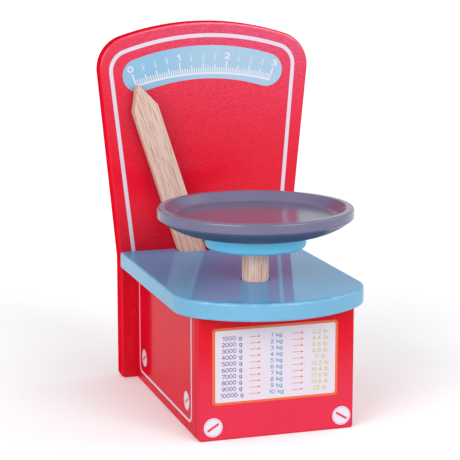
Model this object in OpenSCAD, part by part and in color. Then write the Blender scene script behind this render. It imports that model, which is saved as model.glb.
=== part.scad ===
// Toy counter scale with a pressed pan and a swinging pointer.
// Millimetres. X to the right seen from the front, Y towards the back board, Z up.
// The origin is on the ground under the middle of the whole outline.

/* [Box] */
// Width over the side panels
box_w = 130; // [118:1:146]
// Depth from the face of the front panel to the back board
box_d = 196; // [180:1:220]
// Height of the side panels and the front panel
box_h = 101.5; // [98:0.5:110]
// Thickness of the front, side and base panels
panel_t = 9; // [7:0.5:11]
// Radius of the softened edges of the panels
panel_edge_r = 1.6; // [0.8:0.1:2]
// Radius of the panels' corners
panel_corner_r = 2.4; // [2.2:0.1:4]

/* [Top shelf] */
// How far the shelf and the back board stand out past each side panel
side_overhang = 14.5; // [10:0.5:20]
// Thickness of the shelf
shelf_t = 14.5; // [11:0.5:17]
// How far the bowed front stands out past the front panel
shelf_bow = 32; // [24:1:38]
// Distance from the middle of the bowed front back to the straight sides
shelf_shoulder_d = 57; // [52:1:66]
// Radius between the bowed front and the straight sides
shelf_corner_r = 42; // [34:1:46]
// Radius of the softened edges of the shelf
shelf_edge_r = 2; // [1:0.1:2.8]
// Radius of the shelf's rear corners
shelf_rear_r = 3; // [3:0.1:6]

/* [Back board] */
// Thickness of the back board
board_t = 14; // [11:0.5:17]
// Height of the back board at its crown
board_h = 317; // [305:1:330]
// Width at the widest place, near the top
board_top_w = 191; // [182:1:200]
// Height at which the sides start to flare
board_flare_z = 110; // [90:1:116]
// Radius of the crown
board_crown_r = 240; // [220:1:260]
// Radius of the upper corners
board_corner_r = 30; // [24:1:36]
// Radius of the lower corners
board_foot_r = 4.5; // [3:0.5:8]
// Radius of the softened edges of the board
board_edge_r = 2.4; // [1:0.1:3.2]

/* [Pan] */
// Radius of the pan
pan_r = 80; // [74:1:84]
// Height of the pan
pan_h = 21.8; // [19:0.2:26]
// Height of the upright rim band on the outside
pan_band_h = 8; // [6.5:0.1:9.5]
// Depth of the dish
pan_dish_h = 7.7; // [6.5:0.1:9]
// Width of the flat top of the rim, its rounded outer edge included
pan_rim_w = 6; // [5:0.1:8]
// Radius of the rim's outer edge
pan_rim_r = 2; // [1:0.1:3]
// Width of the sloping wall from the rim down to the flat floor
pan_wall_w = 10.5; // [9:0.5:14]
// Radius between the dish's wall and its floor
pan_fillet_r = 7; // [4:0.5:8]
// Radius of the flat seat under the pan
pan_seat_r = 43; // [42:0.5:48]
// Radius of the collar
collar_r = 41.5; // [36:0.5:42]
// Thickness of the collar
collar_t = 11.2; // [8:0.1:14]
// Radius of the collar's lower edge
collar_edge_r = 3; // [1.5:0.1:4]
// Gap between the collar and the shelf at rest
collar_lift = 27.5; // [24:0.5:34]

/* [Post and spring] */
// Radius of the post
post_r = 11; // [10:0.1:12]
// Distance of the post behind the face of the front panel
post_setback = 56; // [50:1:66]
// Clearance of the post in the shelf's hole, on the radius
post_hole_gap = 0.8; // [0.5:0.1:3]
// Travel of the pan
pan_travel = 18; // [14:0.5:20]
// Length of the post below the shelf's underside at rest
post_low_h = 53.5; // [50:0.5:58]
// How far the post reaches up into the pan
post_socket = 5; // [3:0.5:7]
// Radius of the guide rod
rod_r = 4.8; // [4:0.1:5.4]
// Running clearance of the post on the rod, on the radius
rod_gap = 0.1; // [0.05:0.01:0.1]
// Length of rod inside the post at rest
rod_hold = 20; // [14:1:24]
// Radius of the spring wire
wire_r = 0.8; // [0.6:0.05:0.9]
// Mean radius of the spring
coil_r = 7.6; // [7.2:0.1:8.4]
// Number of curls of the spring
coil_count = 9; // [7:1:10]

/* [Pointer] */
// Width of the pointer
pointer_w = 22.5; // [18:0.5:24]
// Thickness of the pointer
pointer_t = 12; // [8:0.5:13]
// Length from the pivot to the tip
pointer_reach = 207; // [195:1:212]
// Length of the tapered point
point_h = 20.5; // [16:0.5:30]
// Width of the blunt tip
tip_w = 2.4; // [1:0.1:4]
// Length of the pointer below its pivot
pointer_foot_h = 14; // [13:0.5:18]
// Whole swing of the pointer over the dial, in degrees
swing = 36; // [30:1:38]
// Height of the pivot above the ground
pivot_z = 66; // [63:0.5:70]
// Gap between the pointer and the back board
pointer_gap = 2; // [1.5:0.1:3]
// Thickness of the lever on the pointer's foot
lever_t = 8; // [6:0.5:10]

/* [Hidden] */

// Colours of the real piece
red = [0.88, 0.1, 0.17];
sky = [0.53, 0.76, 0.88];
slate = [0.42, 0.43, 0.54];
timber = [0.86, 0.72, 0.55];
steel = [0.72, 0.73, 0.75];

// Overruns and smoothness
cut = 1;
round_fn = 64;
screw_fn = 32;
edge_steps = 3;
arc_step = 7;

// Width of the shelf and of the back board's straight lower part
shelf_w = box_w + 2 * side_overhang;

// Places along Y, with the outline's middle on the origin
whole_d = shelf_bow + box_d + board_t;
rear_y = whole_d / 2;
board_y = rear_y - board_t;
front_y = board_y - box_d;
bow_y = front_y - shelf_bow;
post_y = front_y + post_setback;

// Heights
shelf_z = box_h;
shelf_top_z = shelf_z + shelf_t;
collar_z = shelf_top_z + collar_lift;
pan_z = collar_z + collar_t;
post_foot_z = shelf_z - post_low_h;
rod_top_z = post_foot_z + rod_hold;
rod_room = 4;
post_bore_h = rod_hold + pan_travel + rod_room;

// Inner faces of the box
inner_x = box_w / 2 - panel_t;
inner_y = front_y + panel_t;
panel_mid_x = box_w / 2 - panel_t / 2;

// Pointer and lever, seen from the front with the pivot as centre
half_swing = swing / 2;
pin_x = pan_travel / 2 / tan(half_swing);
pin_r = 3;
pin_gap = 0.45;
pin_z = pivot_z + pan_travel / 2;
slot_in_r = pin_x;
slot_out_r = pin_x / cos(half_swing);
lever_hub_r = 12;
lever_end_r = 8.5;
pointer_back_y = board_y - pointer_gap;
pointer_front_y = pointer_back_y - pointer_t;
lever_front_y = pointer_front_y - lever_t;

// Notch for the pointer in the rear edge of the shelf
notch_gap = 0.6;
notch_front_gap = 2;
notch_x = (shelf_top_z - pivot_z) * tan(half_swing) + pointer_w / 2 / cos(half_swing)
    + notch_gap;
notch_d = pointer_gap + pointer_t + notch_front_gap;

// Pivot hardware
pivot_r = 2.5;
pivot_gap = 0.1;
pivot_play = 0.2;
pivot_bite = 10;
pivot_head_r = 5;
pivot_head_h = 3;
pivot_drive_r = 1.6;
pivot_drive_h = 1.8;
washer_r = 6;
washer_t = 1;
spacer_r = 8;

// Drive arm from the post to the lever
arm_h = 16;
arm_hub_r = 18;
arm_end_r = 9;
arm_gap = 2.5;
arm_end_y = lever_front_y - arm_gap - arm_end_r;
pin_hold = 14;
pin_end_gap = 1;

// Wood screws and dowels
screw_r = 1.75;
screw_head_r = 3.5;
screw_head_h = 2.2;
back_screw_r = 2;
back_screw_head_r = 4;
back_screw_bite = 22;
back_screw_shares = [0.2, 0.8];
shelf_screw_inset = 20;
base_screw_bite = 9;
base_screw_inset = 28;
collar_screw_ring = 29;
collar_screw_bite = 7;
collar_screw_count = 3;
arm_screw_bite = 4.5;
lever_screw_r = 1.4;
lever_screw_head_r = 2.4;
lever_screw_head_h = 1.5;
lever_screw_off = 8.6;
lever_screw_bite = 6;
slot_w_share = 0.22;
slot_h_share = 0.35;
dowel_r = 3;
dowel_bite = 12;
dowel_up = 8;
shelf_dowel_shares = [0.16, 0.78];
front_dowel_r = 2.5;
front_dowel_seat_d = 5;
front_dowel_bite = 12;
front_dowel_shares = [0.24, 0.72];
batten_w = 12;
batten_end_gap = 4;
chamfer = 0.8;

// Arc of points around a centre, from one angle to another
function arc(c, r, a0, a1) =
    let (n = 2 * max(1, ceil(abs(a1 - a0) / arc_step / 2)))
    [for (i = [0 : n]) c + r * [cos(a0 + (a1 - a0) * i / n), sin(a0 + (a1 - a0) * i / n)]];

// The same points with left and right swapped, in the opposite order
function mirrored(pts) = [for (i = [len(pts) - 1 : -1 : 0]) [-pts[i].x, pts[i].y]];

function unit(v) = v / norm(v);

// Step towards the inside at a corner that keeps both edges parallel
function inward(a, b, c) =
    let (u = unit(b - a), v = unit(c - b), m = [-u.y - v.y, u.x + v.x])
    m / (1 + u * v);

function inset(pts, d) =
    let (n = len(pts))
    [for (i = [0 : n - 1]) pts[i] + d * inward(pts[(i + n - 1) % n], pts[i], pts[(i + 1) % n])];

// Flat board of any outline with softened edges, lying on the XY plane
module board(pts, t, r) {
    n = len(pts);
    sides = [for (i = [0 : edge_steps]) 90 * i / edge_steps];
    low = [for (a = sides) [r - r * sin(a), r - r * cos(a)]];
    high = [for (i = [edge_steps : -1 : 0]) [low[i][0], t - low[i][1]]];
    rings = concat(low, high);
    points = [for (ring = rings) for (p = inset(pts, ring[0])) [p.x, p.y, ring[1]]];
    walls = [for (k = [0 : len(rings) - 2]) for (i = [0 : n - 1])
        [k * n + i, (k + 1) * n + i, (k + 1) * n + (i + 1) % n, k * n + (i + 1) % n]];
    floor = [for (i = [0 : n - 1]) i];
    roof = [for (i = [n - 1 : -1 : 0]) (len(rings) - 1) * n + i];
    polyhedron(points, concat(walls, [floor, roof]), convexity = 4);
}

// Rectangle with its lower left corner on the origin and rounded corners
function plate_outline(w, h, r) = concat(arc([w - r, r], r, -90, 0), arc([w - r, h - r], r, 0, 90),
    arc([r, h - r], r, 90, 180), arc([r, r], r, 180, 270));

// Board standing upright across X, with its back on y = 0
module standing(pts, t, r) {
    rotate([90, 0, 0]) board(pts, t, r);
}

// Screw along +Z whose countersunk head starts at z = 0, with a straight slot
module countersunk(r, head_r, head_h, length) {
    difference() {
        rotate_extrude($fn = screw_fn)
            polygon([[0, 0], [head_r, 0], [r, head_h], [r, length - r], [0, length]]);
        translate([-head_r - cut, -head_r * slot_w_share / 2, -cut])
            cube([2 * (head_r + cut), head_r * slot_w_share, cut + head_h * slot_h_share]);
    }
}

// Room for that screw
module countersunk_hole(r, head_r, head_h, length) {
    rotate_extrude($fn = screw_fn)
        polygon([[0, -cut], [head_r, -cut], [head_r, 0], [r, head_h], [r, length - r], [0, length]]);
}

// Dowel along +Z with softened ends
module dowel(r, length) {
    rotate_extrude($fn = screw_fn)
        polygon([[0, 0], [r - chamfer, 0], [r, chamfer], [r, length - chamfer],
            [r - chamfer, length], [0, length]]);
}

// Places of the fixings
module at_back_screws() {
    for (side = [-1, 1]) {
        for (share = back_screw_shares)
            translate([side * panel_mid_x, rear_y, box_h * share]) rotate([90, 0, 0]) children();
        translate([side * (shelf_w / 2 - shelf_screw_inset), rear_y, shelf_z + shelf_t / 2])
            rotate([90, 0, 0]) children();
    }
}

module at_base_screws() {
    for (side = [-1, 1])
        for (y = [inner_y + base_screw_inset, board_y - base_screw_inset])
            translate([side * (inner_x - batten_w / 2), y, 0]) children();
}

module at_shelf_dowels() {
    for (side = [-1, 1])
        for (share = shelf_dowel_shares)
            translate([side * panel_mid_x, front_y + box_d * share, box_h - dowel_bite]) children();
}

module at_front_dowels() {
    for (side = [-1, 1])
        for (share = front_dowel_shares)
            translate([side * panel_mid_x, inner_y - front_dowel_seat_d, box_h * share])
                rotate([-90, 0, 0]) children();
}

module at_collar_screws() {
    for (i = [0 : collar_screw_count - 1])
        translate([0, post_y, collar_z]) rotate(90 + 360 * i / collar_screw_count)
            translate([collar_screw_ring, 0, 0]) children();
}

module at_lever_screws() {
    for (side = [-1, 1])
        translate([0, lever_front_y, pivot_z + side * lever_screw_off]) rotate([-90, 0, 0]) children();
}

module back_screw_holes() {
    at_back_screws() countersunk_hole(back_screw_r, back_screw_head_r, screw_head_h,
        board_t + back_screw_bite);
}

// Turns the pointer's parts from upright to their place over the zero mark
module over_zero() {
    translate([0, 0, pivot_z]) rotate([0, -half_swing, 0]) translate([0, 0, -pivot_z]) children();
}

// Outline of the back board: feet, flared sides, corner arcs and crown
function board_outline() =
    let (
        crown = [0, board_h - board_crown_r],
        corner_x = board_top_w / 2 - board_corner_r,
        corner = [corner_x, crown.y + sqrt(pow(board_crown_r - board_corner_r, 2) - pow(corner_x, 2))],
        kink = [shelf_w / 2, board_flare_z],
        aim = corner - kink,
        lean = atan2(aim.y, aim.x) - asin(board_corner_r / norm(aim)),
        join = atan2(corner.y - crown.y, corner.x),
        right = concat(arc([shelf_w / 2 - board_foot_r, board_foot_r], board_foot_r, -90, 0), [kink],
            arc(corner, board_corner_r, lean - 90, join)),
        top = arc(crown, board_crown_r, join, 180 - join)
    )
    concat(right, [for (i = [1 : len(top) - 2]) top[i]], mirrored(right));

module back_board() {
    color(red) difference() {
        translate([0, rear_y, 0]) standing(board_outline(), board_t, board_edge_r);
        back_screw_holes();
        translate([0, board_y - cut, pivot_z]) rotate([-90, 0, 0])
            cylinder(r = pivot_r, h = cut + pivot_bite, $fn = screw_fn);
    }
}

module front_panel() {
    color(red) difference() {
        translate([-box_w / 2, inner_y, 0])
            standing(plate_outline(box_w, box_h, panel_corner_r), panel_t, panel_edge_r);
        at_front_dowels() cylinder(r = front_dowel_r, h = front_dowel_seat_d + front_dowel_bite, $fn = screw_fn);
    }
}

// Side panel standing along Y, with its outer face at x = box_w / 2
module side_panel() {
    difference() {
        translate([inner_x, inner_y, 0]) rotate([90, 0, 90])
            board(plate_outline(board_y - inner_y, box_h, panel_corner_r), panel_t, panel_edge_r);
        back_screw_holes();
        at_shelf_dowels() cylinder(r = dowel_r, h = dowel_bite + cut, $fn = screw_fn);
        at_front_dowels() cylinder(r = front_dowel_r, h = front_dowel_seat_d + front_dowel_bite, $fn = screw_fn);
    }
}

module right_side_panel() {
    color(red) side_panel();
}

module left_side_panel() {
    color(red) mirror([1, 0, 0]) side_panel();
}

module base_panel() {
    color(timber) difference() {
        translate([-inner_x, inner_y, 0]) cube([2 * inner_x, board_y - inner_y, panel_t]);
        at_base_screws() countersunk_hole(screw_r, screw_head_r, screw_head_h, panel_t + base_screw_bite);
        translate([0, post_y, -cut]) cylinder(r = rod_r, h = panel_t + 2 * cut, $fn = round_fn);
    }
}

module base_batten() {
    difference() {
        translate([inner_x - batten_w, inner_y + batten_end_gap, panel_t])
            cube([batten_w, board_y - inner_y - 2 * batten_end_gap, batten_w]);
        at_base_screws() countersunk_hole(screw_r, screw_head_r, screw_head_h, panel_t + base_screw_bite);
    }
}

module right_base_batten() {
    color(timber) base_batten();
}

module left_base_batten() {
    color(timber) mirror([1, 0, 0]) base_batten();
}

module base_screws() {
    color(steel) at_base_screws()
        countersunk(screw_r, screw_head_r, screw_head_h, panel_t + base_screw_bite);
}

module back_screws() {
    color(steel) at_back_screws()
        countersunk(back_screw_r, back_screw_head_r, screw_head_h, board_t + back_screw_bite);
}

module shelf_dowels() {
    color(timber) at_shelf_dowels() dowel(dowel_r, dowel_bite + dowel_up);
}

module front_dowels() {
    color(timber) at_front_dowels() dowel(front_dowel_r, front_dowel_seat_d + front_dowel_bite);
}

// Outline of the shelf from above: bowed front, rounded corners, notch at the rear
function shelf_outline() =
    let (
        corner = [shelf_w / 2 - shelf_corner_r, bow_y + shelf_shoulder_d],
        bow_r = (pow(corner.x, 2) + pow(shelf_shoulder_d, 2) - pow(shelf_corner_r, 2))
            / 2 / (shelf_shoulder_d - shelf_corner_r),
        bow = [0, bow_y + bow_r],
        join = atan2(corner.y - bow.y, corner.x),
        front = arc(bow, bow_r, -180 - join, join),
        right = concat(arc(corner, shelf_corner_r, join, 0),
            arc([shelf_w / 2 - shelf_rear_r, board_y - shelf_rear_r], shelf_rear_r, 0, 90),
            [[notch_x, board_y], [notch_x, board_y - notch_d]])
    )
    concat([for (i = [1 : len(front) - 2]) front[i]], right, mirrored(right));

module top_shelf() {
    color(sky) difference() {
        translate([0, 0, shelf_z]) board(shelf_outline(), shelf_t, shelf_edge_r);
        translate([0, post_y, shelf_z - cut])
            cylinder(r = post_r + post_hole_gap, h = shelf_t + 2 * cut, $fn = round_fn);
        at_shelf_dowels() cylinder(r = dowel_r, h = dowel_bite + dowel_up, $fn = screw_fn);
        back_screw_holes();
    }
}

module guide_rod() {
    color(timber) translate([0, post_y, 0]) rotate_extrude($fn = round_fn)
        polygon([[0, 0], [rod_r, 0], [rod_r, rod_top_z - chamfer], [rod_r - chamfer, rod_top_z],
            [0, rod_top_z]]);
}

// Helix of the spring: close end curls, an even pitch between them
spring_seat_gap = 0.1;
end_pitch_share = 2.7;
end_pitch = wire_r * end_pitch_share;
spring_low_z = panel_t + wire_r + spring_seat_gap;
spring_rise = post_foot_z - wire_r - spring_seat_gap - spring_low_z;
mid_pitch = (spring_rise - 2 * end_pitch) / (coil_count - 2);
rings_per_curl = 8;
wire_sides = 6;
function coil_z(t) = t < 1 ? end_pitch * t
    : t > coil_count - 1 ? spring_rise - end_pitch * (coil_count - t)
    : end_pitch + mid_pitch * (t - 1);
function coil_point(t) = [coil_r * cos(360 * t), coil_r * sin(360 * t), coil_z(t)];
coil_turns = [for (i = [0 : coil_count * rings_per_curl]) i / rings_per_curl];
coil_path = [for (t = coil_turns) coil_point(t)];
coil_last = len(coil_path) - 1;
spring_path = concat(
    [coil_path[0] - 2 * wire_r * unit(coil_path[1] - coil_path[0])],
    coil_path,
    [coil_path[coil_last] + 2 * wire_r * unit(coil_path[coil_last] - coil_path[coil_last - 1])]);
spring_last = len(spring_path) - 1;
spring_gap = min([for (i = [0 : spring_last - rings_per_curl + 2])
    for (j = [i + rings_per_curl - 2 : spring_last]) norm(spring_path[j] - spring_path[i])])
    - 2 * wire_r;
echo(spring_least_gap = spring_gap);

function along(path, i) =
    unit(path[min(i + 1, len(path) - 1)] - path[max(i - 1, 0)]);

// Tube of a few sides along a path that winds round the Z axis
module wound_tube(path, r, sides) {
    n = len(path);
    points = [for (i = [0 : n - 1])
        let (t = along(path, i), out = unit([path[i].x, path[i].y, 0] - t * (t * [path[i].x, path[i].y, 0])),
            up = cross(t, out))
        for (k = [0 : sides - 1]) path[i] + r * (cos(360 * k / sides) * out + sin(360 * k / sides) * up)];
    walls = [for (i = [0 : n - 2]) for (k = [0 : sides - 1])
        let (a = i * sides + k, b = i * sides + (k + 1) % sides)
        each [[a, a + sides, b + sides], [a, b + sides, b]]];
    first = [for (k = [0 : sides - 1]) k];
    last = [for (k = [sides - 1 : -1 : 0]) (n - 1) * sides + k];
    polyhedron(points, concat(walls, [first, last]), convexity = 10);
}

module return_spring() {
    color(steel) translate([0, post_y, spring_low_z]) wound_tube(spring_path, wire_r, wire_sides);
}

// Pan head screw, washer and spacer on which the pointer swings
module pivot_screw() {
    stack = spacer_stack();
    color(steel) translate([0, board_y - stack, pivot_z]) rotate([-90, 0, 0]) difference() {
        union() {
            cylinder(r = pivot_r, h = stack + pivot_bite, $fn = screw_fn);
            rotate_extrude($fn = screw_fn)
                polygon(concat([[0, -pivot_head_h]],
                    [for (a = [60 : -15 : 0]) [pivot_head_r * cos(a), -pivot_head_h * sin(a) / sin(60)]],
                    [[0, 0]]));
        }
        translate([0, 0, -pivot_head_h - cut])
            cylinder(r = pivot_drive_r, h = cut + pivot_drive_h, $fn = 6);
    }
}

// Distance from the back board to the rear of the pivot screw's head
function spacer_stack() = pointer_gap + pointer_t + lever_t + pivot_play + washer_t;

module pivot_washer() {
    color(steel) translate([0, lever_front_y - pivot_play, pivot_z]) rotate([90, 0, 0]) difference() {
        cylinder(r = washer_r, h = washer_t, $fn = screw_fn);
        translate([0, 0, -cut]) cylinder(r = pivot_r, h = washer_t + 2 * cut, $fn = screw_fn);
    }
}

module pivot_spacer() {
    color(timber) translate([0, board_y, pivot_z]) rotate([90, 0, 0]) difference() {
        cylinder(r = spacer_r, h = pointer_gap - pivot_play, $fn = screw_fn);
        translate([0, 0, -cut]) cylinder(r = pivot_r, h = pointer_gap + 2 * cut, $fn = screw_fn);
    }
}

// Half profile of the turned pan, from the axis out under the pan and back in over the dish
function pan_profile() =
    let (
        band_z = pan_h - pan_band_h,
        reach = pan_r - pan_seat_r,
        belly_r = (reach * reach + band_z * band_z) / (2 * band_z),
        belly_end = -90 + asin(reach / belly_r),
        floor_z = pan_h - pan_dish_h,
        lip = [pan_r - pan_rim_w, pan_h],
        hollow = [lip.x - pan_wall_w, floor_z + pan_fillet_r],
        away = lip - hollow,
        wall_end = atan2(away.y, away.x) - acos(pan_fillet_r / norm(away))
    )
    concat([[0, 0]],
        arc([pan_seat_r, belly_r], belly_r, -90, belly_end),
        [for (a = [0 : 22.5 : 90])
            [pan_r - pan_rim_r + pan_rim_r * cos(a), pan_h - pan_rim_r + pan_rim_r * sin(a)]],
        [lip],
        arc(hollow, pan_fillet_r, wall_end, -90),
        [[0, floor_z]]);

module weighing_pan() {
    color(slate) difference() {
        translate([0, post_y, pan_z]) rotate_extrude($fn = round_fn) polygon(pan_profile());
        translate([0, post_y, pan_z - cut])
            cylinder(r = post_r, h = cut + post_socket, $fn = round_fn);
        at_collar_screws()
            countersunk_hole(screw_r, screw_head_r, screw_head_h, collar_t + collar_screw_bite);
    }
}

module pan_collar() {
    color(sky) difference() {
        translate([0, post_y, collar_z]) rotate_extrude($fn = round_fn)
            polygon(concat([[post_r, 0]],
                arc([collar_r - collar_edge_r, collar_edge_r], collar_edge_r, -90, 0),
                [[collar_r, collar_t], [post_r, collar_t]]));
        at_collar_screws()
            countersunk_hole(screw_r, screw_head_r, screw_head_h, collar_t + collar_screw_bite);
    }
}

module collar_screws() {
    color(steel) at_collar_screws()
        countersunk(screw_r, screw_head_r, screw_head_h, collar_t + collar_screw_bite);
}

module post() {
    color(timber) difference() {
        translate([0, post_y, post_foot_z])
            cylinder(r = post_r, h = pan_z + post_socket - post_foot_z, $fn = round_fn);
        translate([0, post_y, post_foot_z - cut])
            cylinder(r = rod_r + rod_gap, h = cut + post_bore_h, $fn = round_fn);
        at_arm_screw() cylinder(r = screw_r, h = arm_screw_length(), $fn = screw_fn);
    }
}

function arm_screw_length() = arm_hub_r - post_r + arm_screw_bite;

module at_arm_screw() {
    translate([-arm_hub_r, post_y, pin_z]) rotate([0, 90, 0]) children();
}

module drive_arm() {
    color(timber) difference() {
        translate([0, 0, pin_z - arm_h / 2]) linear_extrude(arm_h) hull() {
            translate([0, post_y]) circle(r = arm_hub_r, $fn = screw_fn);
            translate([pin_x, arm_end_y]) circle(r = arm_end_r, $fn = screw_fn);
        }
        translate([0, post_y, pin_z - arm_h / 2 - cut])
            cylinder(r = post_r, h = arm_h + 2 * cut, $fn = round_fn);
        at_arm_screw() countersunk_hole(screw_r, screw_head_r, screw_head_h, arm_screw_length());
        at_drive_pin() cylinder(r = pin_r, h = pin_hold + cut + arm_end_r, $fn = screw_fn);
    }
}

module arm_screw() {
    color(steel) at_arm_screw() countersunk(screw_r, screw_head_r, screw_head_h, arm_screw_length());
}

module at_drive_pin() {
    translate([pin_x, arm_end_y + arm_end_r - pin_hold, pin_z]) rotate([-90, 0, 0]) children();
}

module drive_pin() {
    color(timber) at_drive_pin() dowel(pin_r, pin_hold + arm_gap + lever_t - pin_end_gap);
}

function pointer_outline() =
    let (half = pointer_w / 2, foot = pointer_foot_h - half, shoulder = pointer_reach - point_h)
    concat(arc([0, -foot], half, -180, 0),
        [[half, shoulder], [tip_w / 2, pointer_reach], [-tip_w / 2, pointer_reach], [-half, shoulder]]);

module pivot_hole() {
    translate([0, lever_front_y - cut, pivot_z]) rotate([-90, 0, 0])
        cylinder(r = pivot_r + pivot_gap, h = lever_t + pointer_t + 2 * cut, $fn = screw_fn);
}

module pointer() {
    color(timber) over_zero() difference() {
        translate([0, pointer_back_y, pivot_z]) standing(pointer_outline(), pointer_t, chamfer);
        pivot_hole();
        at_lever_screws() countersunk_hole(lever_screw_r, lever_screw_head_r, lever_screw_head_h,
            lever_t + lever_screw_bite);
    }
}

module pointer_lever() {
    color(timber) over_zero() difference() {
        translate([0, pointer_front_y, pivot_z]) rotate([90, 0, 0]) linear_extrude(lever_t) difference() {
            hull() {
                circle(r = lever_hub_r, $fn = screw_fn);
                translate([slot_out_r, 0]) circle(r = lever_end_r, $fn = screw_fn);
            }
            hull() {
                for (reach = [slot_in_r - pin_gap, slot_out_r + pin_gap])
                    translate([reach, 0]) circle(r = pin_r + pin_gap, $fn = screw_fn);
            }
        }
        pivot_hole();
        at_lever_screws() countersunk_hole(lever_screw_r, lever_screw_head_r, lever_screw_head_h,
            lever_t + lever_screw_bite);
    }
}

module lever_screws() {
    color(steel) over_zero() at_lever_screws()
        countersunk(lever_screw_r, lever_screw_head_r, lever_screw_head_h, lever_t + lever_screw_bite);
}

back_board();
front_panel();
left_side_panel();
right_side_panel();
base_panel();
left_base_batten();
right_base_batten();
base_screws();
back_screws();
shelf_dowels();
front_dowels();
top_shelf();
guide_rod();
return_spring();
pivot_screw();
pivot_washer();
pivot_spacer();
weighing_pan();
pan_collar();
collar_screws();
post();
drive_arm();
arm_screw();
drive_pin();
pointer();
pointer_lever();
lever_screws();
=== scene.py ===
from itertools import product
from math import acos, asin, atan2, ceil, cos, degrees, pi, radians, sin, sqrt, tan

import bmesh
import bpy
from mathutils import Euler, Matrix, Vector
from mathutils.geometry import tessellate_polygon


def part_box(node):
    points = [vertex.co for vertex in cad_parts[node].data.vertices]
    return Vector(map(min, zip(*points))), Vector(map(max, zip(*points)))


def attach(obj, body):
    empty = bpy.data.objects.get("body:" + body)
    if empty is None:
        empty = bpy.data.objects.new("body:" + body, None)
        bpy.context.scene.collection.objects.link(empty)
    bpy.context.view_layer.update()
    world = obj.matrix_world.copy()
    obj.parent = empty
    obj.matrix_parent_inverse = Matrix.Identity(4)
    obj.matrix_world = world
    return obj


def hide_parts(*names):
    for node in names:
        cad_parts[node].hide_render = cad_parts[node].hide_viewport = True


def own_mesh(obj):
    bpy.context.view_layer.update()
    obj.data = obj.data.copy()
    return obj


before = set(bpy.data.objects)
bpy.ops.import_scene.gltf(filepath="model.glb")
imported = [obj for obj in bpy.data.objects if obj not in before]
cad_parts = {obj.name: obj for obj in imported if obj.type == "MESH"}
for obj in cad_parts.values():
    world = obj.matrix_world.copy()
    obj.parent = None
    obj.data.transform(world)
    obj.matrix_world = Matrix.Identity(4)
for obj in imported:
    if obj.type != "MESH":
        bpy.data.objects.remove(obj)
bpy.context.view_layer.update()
scene = bpy.context.scene

MM = 0.001

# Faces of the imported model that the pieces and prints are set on
board_lo, board_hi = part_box("back_board")
shelf_lo, shelf_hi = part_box("top_shelf")
front_lo, front_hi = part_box("front_panel")
side_lo, side_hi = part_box("right_side_panel")
pan_lo, pan_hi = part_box("weighing_pan")
collar_lo, collar_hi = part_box("pan_collar")
post_lo, post_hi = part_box("post")
pointer_lo, pointer_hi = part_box("pointer")
spring_lo, spring_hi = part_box("return_spring")
POST_Y = (post_lo.y + post_hi.y) / 2

# Meshes: corners sharper than these angles stay sharp, and a flat starts at HOLD from its arris
SHARP = 35.0
CAD_SHARP = 30.0
HOLD = 0.5 * MM
ARRIS_STEPS = 5
HOLE_STEP = 9
ROUND_STEP = 2.25
TURN_STEPS = 160
ON_AXIS = 1e-9

# Outline of the back board
FLARE_Z = 110 * MM
CROWN_R = 240 * MM
CORNER_R = 30 * MM
FOOT_R = 4.5 * MM
BOARD_EDGE_R = 2.4 * MM

# Outline of the shelf
SHOULDER_D = 57 * MM
SHELF_CORNER_R = 42 * MM
SHELF_REAR_R = 3 * MM
SHELF_EDGE_R = 2 * MM
NOTCH_HALF_W = 28.67 * MM
NOTCH_D = 16 * MM
POST_HOLE_R = 11.8 * MM
HOLE_EDGE_R = 0.8 * MM

# Panels
PANEL_EDGE_R = 1.6 * MM
PANEL_CORNER_R = 2.4 * MM

# Turned pieces
PAN_R = 80 * MM
BAND_Z = pan_hi.z - 8 * MM
PAN_FLOOR_Z = pan_hi.z - 7.7 * MM
CREASE_R = 1.2 * MM
RIM_W = 6 * MM
RIM_R = 2 * MM
LIP_R = 1.2 * MM
WALL_W = 10.5 * MM
DISH_FILLET_R = 7 * MM
SEAT_R = 43 * MM
COLLAR_EDGE_R = 3 * MM
COLLAR_TOP_R = 0.4 * MM

# Post and its bore for the guide rod
POST_R = 11 * MM
POST_CHAMFER = 0.6 * MM
BORE_R = 4.9 * MM
BORE_H = 42 * MM

# Pointer
PIVOT_Z = 66 * MM
HALF_SWING = 18.0
POINTER_W = 22.5 * MM
REACH = 207 * MM
POINT_H = 20.5 * MM
TIP_W = 2.4 * MM
POINTER_FOOT_H = 14 * MM
POINTER_EDGE_R = 1.1 * MM
PIVOT_HOLE_R = 2.6 * MM

# Spring
CURLS = 9
CURL_POINTS = 40
COIL_R = 7.6 * MM
WIRE_R = 0.8 * MM
WIRE_SIDES = 12
END_PITCH = 2.16 * MM

# Screws, as (radius of the head, radius of the shank, depth of the head), and their places
COLLAR_SCREW = (3.5 * MM, 1.75 * MM, 2.2 * MM)
COLLAR_SCREW_RING = 29 * MM
BACK_SCREW = (4 * MM, 2 * MM, 2.2 * MM)
PANEL_MID_X = 60.5 * MM
SHELF_SCREW_X = 60 * MM
SCREW_SHARES = (0.2, 0.8)

# Height of the prints over the paint, layer by layer, and how far neighbours differ in it
INK_H = 0.08 * MM
SECOND_H = 1.5 * INK_H
FIGURES_H = 1.6 * INK_H
THIRD_H = 2.0 * INK_H
TICKS_H = 3.7 * INK_H
STAGGER = 0.008 * MM
SINK = 0.05 * MM

# Lettering: the gap after a letter one high, and how sharply a stroke may bend and keep its width
LETTER_GAP = 0.12
MITRE = 0.5

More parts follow.
